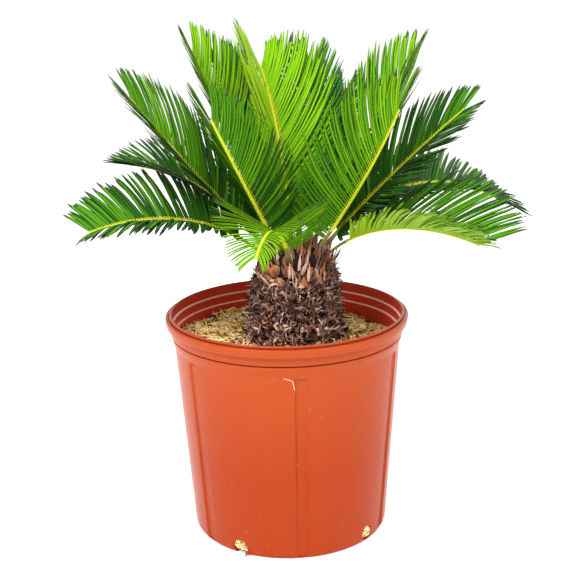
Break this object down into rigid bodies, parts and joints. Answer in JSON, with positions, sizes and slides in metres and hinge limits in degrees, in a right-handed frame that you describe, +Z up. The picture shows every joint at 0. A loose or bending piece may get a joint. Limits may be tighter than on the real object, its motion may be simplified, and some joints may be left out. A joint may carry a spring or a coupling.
{
  "type": "potted sago palm",
  "caption": "Sago palm in a round ribbed nursery pot: a short armoured trunk standing in coarse fibre, with stiff feathery fronds rising and arching from its head on all sides.",
  "frame": {"origin": "middle of the pot's flat underside, on the pot's own axis", "axes": "+Z up along the pot's axis, +X to the right of the side the picture shows, +Y away from that side"},
  "size_m": [0.5389, 0.5075, 0.589],
  "materials": {
    "pot": "satin terracotta-coloured moulded plastic",
    "fibre": "coarse dry coco fibre and chips",
    "trunk": "rough stubs of old leaf bases",
    "frond": "stiff green leaflets with a slight sheen"
  },
  "bodies": {
    "root": {"pot": "pot", "soil": "fibre", "trunk": "trunk", "frond_front": "frond", "frond_front_left": "frond", "frond_front_right": "frond", "frond_left": "frond", "frond_left_low": "frond", "frond_left_arched": "frond", "frond_left_tall": "frond", "frond_centre_tall": "frond", "frond_right": "frond", "frond_right_low": "frond", "frond_right_arched": "frond", "frond_right_tall": "frond", "frond_back": "frond", "frond_back_low": "frond", "frond_back_tall": "frond", "frond_back_left_low": "frond", "frond_back_left_tall": "frond", "frond_back_right_low": "frond", "frond_back_right_tall": "frond"}
  },
  "joints": []
}
